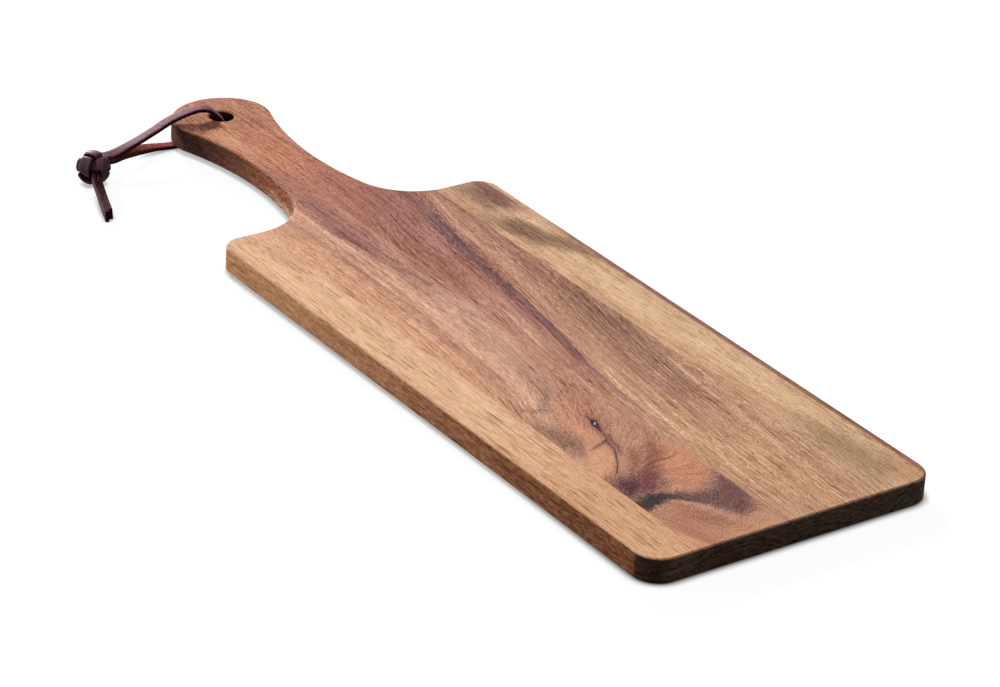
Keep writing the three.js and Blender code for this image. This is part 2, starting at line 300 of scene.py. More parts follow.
# the ball knot: one strand woven in three leads and four bights round the two ends
weave = {
    "leads": 3, "bights": 4, "reach": 43, "turn": 45, "tuck": 0.08, "steps": 420,
    "width": 4.9, "thickness": 1.5, "gap": 0.55, "squeeze": 0.16,
    "crown": 0.16, "sink": 0.1,  # the strand bellies out a little
    "onTop": (80, 158), "below": (195, 285),  # degrees of the wave on either layer
}


def ease(share):
    return share * share * (3 - 2 * share)


def weaveLayer(wave):
    at = wave % 360
    riseEnd, dropStart = weave["onTop"]
    dropEnd, riseStart = weave["below"]
    if riseEnd <= at < dropStart:
        return 1
    if dropStart <= at < dropEnd:
        return 1 - 2 * ease((at - dropStart) / (dropEnd - dropStart))
    if dropEnd <= at < riseStart:
        return -1
    return -1 + 2 * ease(((at - riseStart) % 360) / ((riseEnd - riseStart) % 360))


def tieKnot():
    high = lace["knotRadius"] - weave["thickness"] / 2
    low = high - weave["thickness"] - weave["gap"]

    def strandOut(t):
        wave = weave["bights"] * t / weave["leads"]
        fromPole = math.pi / 2 + math.radians(weave["reach"]) * math.cos(wave)
        spin = t + math.radians(weave["turn"])
        level = math.sin(fromPole)
        around = knotAcross * math.cos(spin) + knotUp * math.sin(spin)
        out = knotAxis * math.cos(fromPole) + around * level
        return out, -weaveLayer(math.degrees(2 * wave))

    rings, count, tuck, nudge = [], weave["steps"], weave["tuck"], 0.01
    for i in range(count + 1):
        t = math.pi / 4 + tuck + (2 * math.pi * weave["leads"] - 2 * tuck) * i / count
        out, layer = strandOut(t)
        ahead = (strandOut(t + nudge)[0] - strandOut(t - nudge)[0]).normalized()
        side = out.cross(ahead).normalized()
        rho = (high + low) / 2 + (high - low) / 2 * layer
        width = weave["width"] * (1 - weave["squeeze"] + weave["squeeze"] * layer)
        ring = []
        for w, h, _ in strapSection:
            swing = w * width / rho
            crown = weave["crown"] * (1 - (2 * w) ** 2) if h > 0 else 0
            at = out * math.cos(swing) + side * math.sin(swing)
            ring.append(knotPlace + at * (rho + (h + crown - weave["sink"]) * weave["thickness"]))
        rings.append(ring)
    return skinRings("woven_ball_knot", rings, [finish for _, _, finish in strapSection])


overLace, overRoute, overLength = layLace("lace_over_half", lace["over"], 1)
belowLace, belowRoute, belowLength = layLace("lace_under_half", lace["below"], -1)
ballKnot = tieKnot()
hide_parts("lace_hole_bend", "lace_over_run", "lace_over_tail")
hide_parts("lace_under_run", "lace_under_tail")
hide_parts("woven_knot")
for piece in (overLace, belowLace, ballKnot):
    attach(piece, "lace")
print("lace laid, halves of", round(overLength, 4), "and", round(belowLength, 4), "m")


# leather: grain is the smooth outside, the next finish the same outside on the knot, smoother and made
# lighter as painted light, flesh the rough inside, edge the cut sides; a finish is dark colour, light
# colour, roughness, relief and shine
hide = {
    "finishes": {
        "grain": ("#5a3339", "#7a4d55", 0.6, 0.2, 0.05),
        "rubbedAndPaintedShading": ("#68424a", "#88606a", 0.5, 0.2, 0.08),
        "flesh": ("#763636", "#ac5c55", 0.9, 0.6, 0.03),
        "edge": ("#1c1012", "#4b2b30", 0.8, 0.6, 0.03),
    },
    "pores": 2.4, "mottle": (0.55, 3), "fuzz": (3.2, 4, 0.7), "mottleShare": 0.6, "fuzzShare": 0.4,
    "tone": (0.36, 0.64), "dull": (0.3, 0.7), "smoother": 0.08, "rougher": 0.1,
    "poreDepth": 0.5, "bump": 0.0002,
    # the bend over the handle is lightened as painted light, and the flanks of the ball are darkened as
    # painted shade
    "bendIn": (-4, -9), "bendOut": (-40, -14), "bend": (1.55, 1.58, 1.52, 1),
    "flankFrom": (0.3, 0.75), "flank": (0.3, 0.34, 0.36, 1),
}


def leather(name):
    dark, light, rough, relief, shine = hide["finishes"][name]
    material, tree, shader = newMaterial("lace_" + name)
    place, apart = millimetres(tree)
    pores = addNode(tree, "ShaderNodeTexVoronoi", {"Vector": place, "Scale": hide["pores"]}).outputs[0]
    mottle = grit(tree, place, *hide["mottle"])
    fuzz = grit(tree, place, *hide["fuzz"])
    blend = times(tree, mottle, hide["mottleShare"])
    blend = calc(tree, "ADD", blend, times(tree, fuzz, hide["fuzzShare"]))
    base = tint(tree, fade(tree, blend, *hide["tone"]), dark, light)
    if name == "grain":
        # painted light: the lace is made paler where it bends over the handle
        bendPaintedLight = times(tree, fade(tree, apart[1], *hide["bendIn"]), fade(tree, apart[1], *hide["bendOut"]))
        base = stainAndPaintedShading(tree, bendPaintedLight, base, hide["bend"])
    # painted shade: the flanks of the ball, facing across the knot, are darkened
    if name == "rubbedAndPaintedShading":
        facing = addNode(tree, "ShaderNodeTexCoord").outputs["Normal"]
        across = addNode(tree, "ShaderNodeVectorMath", {0: facing, 1: knotAcross}, operation="DOT_PRODUCT")
        flank = fade(tree, calc(tree, "ABSOLUTE", across.outputs["Value"]), *hide["flankFrom"])
        base = stainAndPaintedShading(tree, flank, base, hide["flank"])
    link(tree, base, shader, "Base Color")
    dull = fade(tree, fuzz, *hide["dull"], rough - hide["smoother"], rough + hide["rougher"])
    link(tree, dull, shader, "Roughness")
    height = calc(tree, "ADD", times(tree, pores, hide["poreDepth"]), fuzz)
    bump = addNode(tree, "ShaderNodeBump", {"Strength": relief, "Distance": hide["bump"], "Height": height})
    link(tree, bump.outputs[0], shader, "Normal")
    shader.inputs["Specular IOR Level"].default_value = shine
    return material


finishes = {name: leather(name) for name in hide["finishes"]}
for piece, outside in ((overLace, "grain"), (belowLace, "grain"), (ballKnot, "rubbedAndPaintedShading")):
    for name in (outside, "flesh", "edge"):
        piece.data.materials.append(finishes[name])
print("leather done")


# the board: outline values in mm, the same as the solids; lean, rise and shift lay it on the lace
board = {
    "length": 400, "handle": 120, "width": 125, "thickness": 10, "ease": 1.0, "easeSteps": 4,
    "bodyCorner": 10, "shoulder": 8.5, "sweep": 26.5, "neckWidth": 26, "neckFrom": 52, "flank": 134,
    "gripCorner": 17.4, "gripEnd": 23, "hole": 10, "holeFrom": 19,
    "lean": 0.004766967, "rise": 0.9486229, "shift": -0.0238347,
    "sag": 0.006, "shortest": 0.02, "weld": 0.003, "sawSlack": 0.0001, "crease": 38, "evenWeight": 90,
}


def arc(cx, cy, radius, start, end):
    count = max(4, math.ceil(abs(end - start) / (2 * math.acos(1 - board["sag"] / radius))))
    angles = [start + (end - start) * i / count for i in range(count + 1)]
    return [(cx + radius * math.cos(angle), cy + radius * math.sin(angle)) for angle in angles]


def boardOutline():
    b, half, wide = board, board["length"] / 2, board["width"] / 2
    shoulderX = -half + b["handle"]
    flankX, flankY = shoulderX - b["neckFrom"], b["neckWidth"] / 2 + b["flank"]
    sweepX = shoulderX - b["sweep"]
    sweepY = flankY - math.sqrt((b["flank"] - b["sweep"]) ** 2 - (sweepX - flankX) ** 2)
    crownX = -half + b["gripEnd"]
    apart = math.hypot(flankX - crownX, flankY)
    near, far = b["gripEnd"] - b["gripCorner"], b["flank"] + b["gripCorner"]
    turn = math.acos((near ** 2 + apart ** 2 - far ** 2) / (2 * near * apart))
    cornerAngle = math.atan2(flankY, flankX - crownX) + turn
    cornerX, cornerY = crownX + near * math.cos(cornerAngle), near * math.sin(cornerAngle)
    sweepEnd = math.atan2(sweepY - flankY, sweepX - flankX)
    flankEnd = math.atan2(cornerY - flankY, cornerX - flankX)
    upper = arc(half - b["bodyCorner"], wide - b["bodyCorner"], b["bodyCorner"], 0, math.pi / 2)
    upper += arc(shoulderX + b["shoulder"], wide - b["shoulder"], b["shoulder"], math.pi / 2, math.pi)
    upper += arc(sweepX, sweepY, b["sweep"], 0, sweepEnd)
    upper += arc(flankX, flankY, b["flank"], sweepEnd, flankEnd)
    upper += arc(cornerX, cornerY, b["gripCorner"], flankEnd + math.pi, cornerAngle)
    upper += arc(crownX, 0, b["gripEnd"], cornerAngle, math.pi)
    whole = upper + [(x, -y) for x, y in reversed(upper)]
    return [p for p, q in zip(whole, whole[1:] + whole[:1]) if math.dist(p, q) > board["shortest"]]


def boardBlank():
    curve = bpy.data.curves.new("boardBlank", "CURVE")
    curve.dimensions = "2D"
    curve.fill_mode = "BOTH"
    curve.extrude = board["thickness"] / 2 - board["ease"]
    curve.bevel_depth = board["ease"]
    curve.bevel_resolution = board["easeSteps"]
    curve.offset = -board["ease"]
    holeX = -board["length"] / 2 + board["holeFrom"]
    rim = board["hole"] / 2
    for points in (boardOutline(), arc(holeX, 0, rim, 0, 2 * math.pi)[:-1]):
        spline = curve.splines.new("POLY")
        spline.points.add(len(points) - 1)
        for point, (x, y) in zip(spline.points, points):
            point.co = (x, y, 0, 1)
        spline.use_cyclic_u = True
    carrier = bpy.data.objects.new("boardBlank", curve)
    scene.collection.objects.link(carrier)
    bpy.context.view_layer.update()
    graph = bpy.context.evaluated_depsgraph_get()
    mesh = bpy.data.meshes.new_from_object(carrier.evaluated_get(graph))
    bpy.data.objects.remove(carrier)
    blank = bmesh.new()
    blank.from_mesh(mesh)
    bpy.data.meshes.remove(mesh)
    bmesh.ops.remove_doubles(blank, verts=blank.verts, dist=board["weld"])
    bmesh.ops.translate(blank, verts=blank.verts, vec=(0, 0, board["thickness"] / 2))
    return blank


def sawStave(blank, name, node, low, high):
    stave = blank.copy()
    for place, keepAbove in ((low, True), (high, False)):
        if place is None:
            continue
        whole = stave.verts[:] + stave.edges[:] + stave.faces[:]
        cut = bmesh.ops.bisect_plane(
            stave, geom=whole, dist=board["sawSlack"], plane_co=(0, place, 0), plane_no=(0, 1, 0),
            clear_inner=keepAbove, clear_outer=not keepAbove)
        edges = [e for e in cut["geom_cut"] if isinstance(e, bmesh.types.BMEdge)]
        bmesh.ops.edgenet_fill(stave, edges=edges)
    bmesh.ops.recalc_face_normals(stave, faces=stave.faces)
    lean = Matrix.Rotation(board["lean"], 4, "Y")
    stave.transform(Matrix.Scale(mm, 4) @ Matrix.Translation((board["shift"], 0, board["rise"])) @ lean)
    mesh = bpy.data.meshes.new(name)
    stave.to_mesh(mesh)
    stave.free()
    mesh.shade_smooth()
    mesh.set_sharp_from_angle(angle=math.radians(board["crease"]))
    piece = bpy.data.objects.new(name, mesh)
    scene.collection.objects.link(piece)
    smooth = piece.modifiers.new("evenShading", "WEIGHTED_NORMAL")
    smooth.keep_sharp = True
    smooth.weight = board["evenWeight"]
    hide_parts(node)
    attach(piece, "board")
    return piece


stavePlan = [("near_stave", None, -42.5), ("knotty_stave", -42.5, -4.5), ("streaked_stave", -4.5, 38.0),
             ("pale_stave", 38.0, 59.5), ("edge_strip", 59.5, None)]
blank = boardBlank()
staves = {node: sawStave(blank, node + "_oiled", node, low, high) for node, low, high in stavePlan}
blank.free()
print("staves sawn:", ", ".join(staves))


# wood, in mm of the board's frame: grain is the drift of the fibres, bands run across them, a patch is
# (x, y, half length, half width, turn, colour, strength, softness), pith is y and z of the trunk's middle
timber = {
    "near_stave": {
        "grain": [(-80, 0.0), (60, 0.4), (200, -0.6)],
        "bands": [(-63, "#daab88"), (-58, "#e5b894"), (-52, "#deb18d"), (-47, "#e6bb98"), (-42, "#daa884")],
        "patches": [(175, -52, 60, 20, 0, "#ce9872", 0.6, 0.6), (-60, -45, 30, 6, 0, "#d4a081", 0.5, 0.6)],
        "pith": (-40, -55), "fibre": 0.07, "fleck": 0.1, "pores": 0.75, "rays": 0.08, "speck": 0.12,
    },
    "knotty_stave": {
        "grain": [(-200, 0.0), (-20, 0.0), (30, -1.5), (70, -6.0), (95, -12.0), (115, -19.0), (140, -31.0),
                  (158, -43.0), (166, -46.0), (182, -41.0), (200, -36.0)],
        "bands": [(-44, "#d5a182"), (-33, "#d29e7d"), (-30.5, "#c6947c"), (-28, "#b9846e"),
                  (-25.5, "#cc9a80"), (-20, "#d4a48a"), (-17, "#c2937f"), (-13, "#ba8b76"),
                  (-8, "#b88570"), (4, "#bf8e78"), (30, "#c18e74")],
        "patches": [
            (-168, -12, 34, 22, 0, "#b57d61", 0.9, 0.8),
            (-138, -8, 22, 12, 0, "#c68769", 0.85, 0.8),
            (-108, -8, 26, 9, 0, "#ac7363", 0.8, 0.8),
            (-158, -4, 12, 6, 0, "#c39372", 0.35, 0.8),
            # painted shadow of the lace beside the hole, darker and redder than the wood
            (-173.8, -11, 3.4, 6.5, 0, "#7d4336", 0.7, 0.8),
            (-62, -13, 46, 5.0, 3, "#94615b", 0.75, 0.85),
            (-58, -17, 15, 2.6, 4, "#7b4d4f", 0.7, 0.85),
            (-14, -12, 9, 1.1, 2, "#835754", 0.8, 0.5),
            (20, -13, 34, 6, -3, "#cfa48e", 0.6, 0.6),
            (121, -9.5, 14, 5, 0, "#aa7860", 0.75, 0.8),
            (186, -31, 15, 7, 0, "#ad7a63", 0.5, 0.7),
        ],
        "pith": (-26, -30), "fibre": 0.13, "fleck": 0.19, "pores": 0.72, "rays": 0.12, "speck": 0.24,
    },
    "streaked_stave": {
        "grain": [(-200, 28.0), (-84, 27.6), (-60, 23.6), (-36, 19.9), (-11, 17.4), (12, 13.9), (37, 10.1),
                  (61, 5.5), (85, 1.9), (133, -2.5), (200, -6.0)],
        "bands": [(-34, "#b57c64"), (-26, "#b17862"), (-14, "#ab7665"), (-7, "#a77465"), (-2.5, "#a67466"),
                  (2.5, "#b3816a"), (6, "#be9076"), (12, "#b7876f"), (18, "#ad7f69"), (26, "#bd8e71"),
                  (40, "#c4997b")],
        "patches": [
            (-165, 10, 40, 24, 0, "#b27a5f", 0.9, 0.8),
            (-128, 4, 26, 12, 0, "#c38466", 0.85, 0.8),
            (-169, 8, 8, 4, 10, "#9c6452", 0.55, 0.8),
            (-136, 13, 16, 4, -8, "#9a6860", 0.55, 0.8),
            (-100, 8, 24, 10, 0, "#a86f5d", 0.8, 0.8),
            (-62, 6, 40, 13, -4, "#9d685c", 0.8, 0.85),
            (-12, 33, 30, 0.9, -3, "#97655a", 0.6, 0.5),
            (-24, 29, 26, 0.8, -5, "#9d6d5f", 0.5, 0.5),
            (57, 29, 66, 8.5, -7, "#966e5d", 0.7, 0.85),
            (34, 33.5, 34, 4.2, 2, "#83584b", 0.6, 0.85),
            (60, 31, 44, 2.2, -6, "#865e4f", 0.5, 0.85),
            (-40, 35.5, 44, 2.6, -1, "#a87962", 0.6, 0.6),
            (30, 0.5, 34, 4.5, -7, "#be8f79", 0.7, 0.7),
            (-92, 33, 26, 5, -2, "#b67f6c", 0.6, 0.8),
            (-60, 37, 40, 1.8, -1, "#956a64", 0.6, 0.8),
            (165, 12, 44, 16, 0, "#cca07c", 0.7, 0.6),
            (110, 3, 44, 8, -5, "#ca9e7b", 0.7, 0.6),
            (180, 31, 40, 6, 0, "#c39778", 0.6, 0.6),
        ],
        "pith": (6, -46), "fibre": 0.15, "fleck": 0.2, "pores": 0.7, "rays": 0.36, "speck": 0.26,
    },
    "pale_stave": {
        "grain": [(-80, 0.0), (20, -1.0), (110, 0.5), (200, -1.0)],
        "bands": [(37, "#c69d7d"), (42, "#d0a684"), (47, "#d8b08c"), (53, "#dab48f"), (60, "#cfa483")],
        "patches": [
            (-65, 53.5, 17, 8, 10, "#855e55", 0.95, 0.85),
            (-70, 58, 12, 4, 0, "#7a4f4b", 0.7, 0.85),
            (-40, 44.5, 15, 5, 24, "#7f604c", 0.95, 0.9),
            (-24, 50.5, 18, 5, 20, "#836550", 0.9, 0.9),
            (-10, 55.5, 14, 3.2, 14, "#947159", 0.8, 0.9),
            (-60, 41, 24, 3.6, 2, "#c29578", 0.7, 0.6),
            (140, 44, 24, 4, 0, "#c99d7a", 0.6, 0.6),
            (171, 47, 28, 7.5, 0, "#a58667", 0.85, 0.6),
            (192, 55, 14, 6, 0, "#b78969", 0.6, 0.6),
        ],
        "pith": (70, -38), "fibre": 0.08, "fleck": 0.12, "pores": 0.64, "rays": 0.12, "speck": 0.18,
    },
    "edge_strip": {
        "grain": [(-80, 0.0), (60, 0.3), (200, 0.0)],
        "bands": [(59, "#b3836a"), (61, "#a1735c"), (63, "#946552")],
        "patches": [
            (-60, 61, 38, 4, 0, "#cda888", 0.9, 0.4),
            (50, 61, 60, 4, 0, "#87635c", 0.8, 0.5),
            (150, 61, 55, 4, 0, "#8d5f50", 0.7, 0.5),
        ],
        "pith": (64, -60), "fibre": 0.2, "fleck": 0.14, "pores": 0.45, "rays": 0.25, "speck": 0.12,
    },
}


# figure that all staves share: the first five rows are the stretch along the stave, across the fibres and
# down, the noise's detail and roughness, and the limits that it is cut to
figure = {
    "fibre": ((0.016, 0.85, 0.6), 5, 0.62, 0.32, 0.68),
    "fleck": ((0.32, 1.7, 1.5), 3, 0.75, 0.34, 0.66),
    "dashes": ((0.13, 3.1, 3.1), 1, 0.5, 0.59, 0.68),
    "vessels": ((0.04, 1.6, 1.6), 1, 0.5, 0.64, 0.7),
    "rays": ((0.018, 1.15, 1.0), 1, 0.5, 0.6, 0.7),
    "speck": (1.5, 2, 0.85), "speckCut": (0.34, 0.66),
    "wander": (0.012, 0.05, 0.05), "wanderBy": 2.2, "slant": 0.35,
    "cloud": (0.04, 0.16, 0.1), "shove": (26, 9, 0), "shoveBack": (-13, -4.5, 0), "cloudLight": 0.08,
    "patchDepth": 10000, "bandWobble": 1.6,
    "raggedFibre": 0.03, "raggedFleck": 0.08, "raggedSpeck": 0.12, "raggedEye": 0.16,
    "raysGrow": (-20, 60, 0.2, 1.0),
    "eyeDrift": (-4, -30, 0.45, 1.0), "eyeLines": (80, 112, 1.0, 0.3), "eyeFleck": (95, 120, 1.0, 0.45),
    "gamma": -0.45, "light": 0.55,
    "dull": (0.72, 0.58), "shine": 0.015, "fibreRelief": 0.5, "relief": 0.25, "bump": 0.0002,
}


def floatCurve(tree, value, points):
    xs, ys = [p[0] for p in points], [p[1] for p in points]
    low, high = min(ys) - 1, max(ys) + 1
    share = calc(tree, "DIVIDE", calc(tree, "SUBTRACT", value, xs[0]), xs[-1] - xs[0], clamp=True)
    node = addNode(tree, "ShaderNodeFloatCurve", {"Value": share})
    line = node.mapping.curves[0]
    while len(line.points) < len(points):
        line.points.new(0.5, 0.5)
    for mark, (x, y) in zip(line.points, points):
        mark.location = ((x - xs[0]) / (xs[-1] - xs[0]), (y - low) / (high - low))
    node.mapping.update()
    return calc(tree, "MULTIPLY_ADD", node.outputs[0], high - low, low)


def patch(tree, base, place, ragged, spec):
    x, y, long, wide, turn, code, strength, soft = spec
    rows = {"Vector": place, "Location": (x, y, 0), "Rotation": (0, 0, math.radians(turn)),
            "Scale": (long, wide, figure["patchDepth"])}
    local = addNode(tree, "ShaderNodeMapping", rows, vector_type="TEXTURE").outputs[0]
    far = addNode(tree, "ShaderNodeVectorMath", {0: local}, operation="LENGTH").outputs["Value"]
    mask = fade(tree, calc(tree, "ADD", far, ragged), 1 + soft, 1 - soft, high=strength)
    return tint(tree, mask, base, code)


def swing(tree, value, amount):
    return calc(tree, "MULTIPLY_ADD", value, 2 * amount, -amount)


def strands(tree, x, across, z, name):
    sizes, detail, rough, start, end = figure[name]
    return fade(tree, grit(tree, stretch(tree, x, across, z, sizes), 1.0, detail, rough), start, end)


def woodMaterial(node):
    look = timber[node]
    material, tree, shader = newMaterial(node + "_wood")
    place, (x, y, z) = millimetres(tree)
    wander = grit(tree, stretch(tree, x, y, z, figure["wander"]), 1.0)
    wander = swing(tree, wander, figure["wanderBy"])
    drift = floatCurve(tree, x, look["grain"])
    if node == "knotty_stave":
        drift = times(tree, drift, fade(tree, y, *figure["eyeDrift"]))
    run = calc(tree, "ADD", calc(tree, "SUBTRACT", y, drift), wander)
    across = calc(tree, "MULTIPLY_ADD", z, figure["slant"], run)
    fibre = strands(tree, x, across, z, "fibre")
    fleck = strands(tree, x, across, z, "fleck")
    dashes = strands(tree, x, across, z, "dashes")
    pores = calc(tree, "MAXIMUM", dashes, strands(tree, x, across, z, "vessels"))
    rays = strands(tree, x, across, z, "rays")
    speck = fade(tree, grit(tree, place, *figure["speck"]), *figure["speckCut"])
    # patches sit on warped ground and break up along the fibres, so no edge is ruled
    rows = {"Vector": stretch(tree, x, run, z, figure["cloud"]), "Detail": 4.0, "Scale": 1.0}
    cloud = addNode(tree, "ShaderNodeTexNoise", rows)
    rows = {0: cloud.outputs["Color"], 1: figure["shove"], 2: figure["shoveBack"]}
    shove = addNode(tree, "ShaderNodeVectorMath", rows, operation="MULTIPLY_ADD").outputs[0]
    ground = addNode(tree, "ShaderNodeVectorMath", {0: place, 1: shove}, operation="ADD").outputs[0]
    ragged = swing(tree, fibre, figure["raggedFibre"])
    ragged = calc(tree, "ADD", ragged, swing(tree, fleck, figure["raggedFleck"]))
    ragged = calc(tree, "ADD", ragged, swing(tree, speck, figure["raggedSpeck"]))
    low, high = look["bands"][0][0], look["bands"][-1][0]
    banded = calc(tree, "ADD", run, swing(tree, fibre, figure["bandWobble"]))
    share = calc(tree, "DIVIDE", calc(tree, "SUBTRACT", banded, low), high - low)
    base = ramp(tree, share, [((at - low) / (high - low), code) for at, code in look["bands"]])
    for spec in look["patches"]:
        base = patch(tree, base, ground, ragged, spec)
    if node == "streaked_stave":
        base = purpleStreak(tree, base, x, run, ragged)
    if node == "knotty_stave":
        base = eyeKnot(tree, base, place, ground, x, y, swing(tree, speck, figure["raggedEye"]))
    rays = times(tree, rays, fade(tree, x, *figure["raysGrow"]))
    lines = calc(tree, "MULTIPLY_ADD", rays, look["rays"], times(tree, pores, -look["pores"]))
    lines = calc(tree, "ADD", lines, swing(tree, fibre, look["fibre"]))
    if node == "knotty_stave":
        lines = times(tree, lines, fade(tree, x, *figure["eyeLines"]))
        fleck = calc(tree, "MULTIPLY_ADD", calc(tree, "SUBTRACT", fleck, 0.5),
                     fade(tree, x, *figure["eyeFleck"]), 0.5)
    light = calc(tree, "ADD", lines, swing(tree, fleck, look["fleck"]))
    light = calc(tree, "ADD", light, swing(tree, speck, look["speck"]))
    cloudy = fade(tree, cloud.outputs[0], 0.3, 0.7)
    light = calc(tree, "ADD", light, swing(tree, cloudy, figure["cloudLight"]))
    gamma = calc(tree, "MULTIPLY_ADD", light, figure["gamma"], 1.0)
    base = addNode(tree, "ShaderNodeGamma", {"Color": base, "Gamma": gamma}).outputs[0]
    base = scaled(tree, base, calc(tree, "MULTIPLY_ADD", light, figure["light"], 1.0))
    base = sawnSides(tree, base, node, x, y, z)
    link(tree, base, shader, "Base Color")
    link(tree, fade(tree, fleck, 0.0, 1.0, *figure["dull"]), shader, "Roughness")
    raised = calc(tree, "ADD", fleck, times(tree, fibre, figure["fibreRelief"]))
    rows = {"Strength": figure["relief"], "Distance": figure["bump"],
            "Height": calc(tree, "SUBTRACT", raised, pores)}
    link(tree, addNode(tree, "ShaderNodeBump", rows).outputs[0], shader, "Normal")
    shader.inputs["Specular IOR Level"].default_value = figure["shine"]
    staves[node].data.materials.append(material)


# the dark streak keeps to the grain line that the stave's drift follows; rows are x, half width, strength
streak = {
    "middle": -0.6, "colour": "#764f51", "ragged": 2.2, "edge": (1.5, 0.35),
    "rows": [(-105, 5.0, 0.3), (-75, 5.0, 0.62), (-45, 3.8, 0.95), (-5, 3.0, 0.95), (40, 2.4, 0.75),
             (85, 2.0, 0.5), (120, 1.6, 0.0)],
}


def purpleStreak(tree, base, x, run, ragged):
    half = floatCurve(tree, x, [row[:2] for row in streak["rows"]])
    strength = floatCurve(tree, x, [(row[0], row[2]) for row in streak["rows"]])
    away = calc(tree, "ABSOLUTE", calc(tree, "SUBTRACT", run, streak["middle"]))
    away = calc(tree, "ADD", calc(tree, "DIVIDE", away, half), times(tree, ragged, streak["ragged"]))
    body = fade(tree, away, *streak["edge"])
    return tint(tree, calc(tree, "MULTIPLY", body, strength, clamp=True), base, streak["colour"])


# the eye knot, the split that runs from it and the dark heartwood that swirls beside it; a plume row is y,
# x, half width and strength, and the four ends of a split are where it starts, is full, fades and stops
eye = {
    "swirl": [
        (100, -13, 30, 8, -6, "#bc8b72", 0.6, 0.8),
        (95, -17, 14, 4, -12, "#b47963", 0.6, 0.8),
        (108.6, -28, 14, 6, -6, "#c88e70", 0.9, 0.7),
        (88, -28, 12, 1.3, -34, "#8f7061", 0.6, 0.9),
        (92, -35, 7, 1.2, 60, "#997564", 0.6, 0.9),
        (114, -38.6, 12, 5.2, 4, "#865f4e", 0.9, 0.8),
        (150, -12.5, 17, 9.5, -6, "#c38766", 0.9, 0.7),
        (136.5, -15, 10, 2.4, -40, "#905a4b", 0.85, 0.85),
        (137, -23.5, 9, 2.8, -42, "#98624f", 0.8, 0.85),
        (147, -21, 11, 3.0, -44, "#925c4c", 0.8, 0.85),
        (135, -36, 13, 6.4, -40, "#d69f7d", 1.0, 0.6),
        (183, -33, 15, 10, 0, "#af7961", 0.8, 0.8),
        (186, -25, 13, 2.2, 28, "#96624f", 0.6, 0.9),
        (154, -36, 9.2, 10, 24, "#58333a", 0.97, 0.85),
        (150, -27, 10, 2.6, -40, "#774345", 0.85, 0.85),
        (193, -41, 8, 2.2, 14, "#d39f7c", 0.8, 0.8),
        (196, -20, 6, 10, 0, "#bb855f", 0.6, 0.8),
    ],
    "plume": [(-44, 166.5, 3.6, 0.9), (-39, 165.8, 3.7, 1.0), (-34, 165.6, 3.5, 1.0),
              (-29, 166.2, 3.3, 0.95), (-24.5, 169.0, 4.4, 0.9), (-20, 174.0, 7.6, 0.9),
              (-15, 177.2, 10.0, 0.9), (-10, 175.0, 11.0, 0.88), (-4, 170.0, 12.0, 0.85)],
    "plumeTones": [(-44, "#4e3d3b"), (-36, "#383131"), (-27, "#4a3b3a"), (-22, "#5f4445"),
                   (-14, "#664843"), (-9, "#624242"), (-4, "#5d3a42")],
    "plumeEdge": (1.5, 0.45),
    "split": [(112, -21.7), (119.9, -23.4), (123.1, -25.0), (127.9, -25.8), (132.7, -28.0), (138.3, -31.6),
              (142.3, -34.6), (145.5, -38.2), (148.4, -42.6)],
    "splitEnds": (111, 114, 142, 147), "splitTone": "#40242e",
    "besideEnds": (117, 121, 129, 137), "besideTone": "#5f3a42", "beside": (116, 122, -0.6, -1.9),
    "fork": [(-37.2, 127.3), (-33.6, 125.9), (-29.6, 124.3), (-25.4, 122.8)],
    "forkEnds": (-36, -30, -26, -24.8), "forkTone": "#54313a",
    "halo": (2.2, 0.3, 0.0, 0.5), "haloTone": "#7a4a4b", "crack": (0.42, 0.08, 0.0, 0.85),
    "jitter": (0.3, 2), "jitterBy": 0.65, "stiller": 0.5,
    "rings": [
        (110.4, -21.1, 8.0, 3.6, -14, "#80534a", 0.6, 0.8),
        (107.4, -20.9, 3.2, 0.6, -8, "#4c2e3c", 0.8, 0.6),
        (110.4, -21.1, 3.1, 1.5, -20, "#32262d", 1.0, 0.35),
        (113.6, -21.9, 2.8, 0.7, -20, "#4c2e3c", 0.8, 0.6),
        # painted highlight: two pale glints in the eye
        (110.2, -20.9, 0.9, 0.32, -40, "#cac4c4", 0.9, 0.4),
        (111.0, -21.5, 0.6, 0.28, 30, "#b0a8ab", 0.8, 0.4),
    ],
}


def hairline(tree, base, value, along, points, ends, code, jitter):
    aside = calc(tree, "SUBTRACT", value, floatCurve(tree, along, points))
    away = calc(tree, "ABSOLUTE", calc(tree, "ADD", aside, jitter))
    within = times(tree, fade(tree, along, ends[0], ends[1]), fade(tree, along, ends[3], ends[2]))
    base = tint(tree, times(tree, fade(tree, away, *eye["halo"]), within), base, eye["haloTone"])
    return tint(tree, times(tree, fade(tree, away, *eye["crack"]), within), base, code)


def plume(tree, base, nearer, ragged):
    px, py = addNode(tree, "ShaderNodeSeparateXYZ", {0: nearer}).outputs[:2]
    rows = eye["plume"]
    half = floatCurve(tree, py, [(row[0], row[2]) for row in rows])
    middle = floatCurve(tree, py, [row[:2] for row in rows])
    away = calc(tree, "DIVIDE", calc(tree, "ABSOLUTE", calc(tree, "SUBTRACT", px, middle)), half)
    first, last = eye["plumeTones"][0][0], eye["plumeTones"][-1][0]
    tone = ramp(tree, calc(tree, "DIVIDE", calc(tree, "SUBTRACT", py, first), last - first),
                [((at - first) / (last - first), code) for at, code in eye["plumeTones"]])
    strength = floatCurve(tree, py, [(row[0], row[3]) for row in rows])
    body = fade(tree, calc(tree, "ADD", away, ragged), *eye["plumeEdge"])
    return tint(tree, calc(tree, "MULTIPLY", body, strength, clamp=True), base, tone)


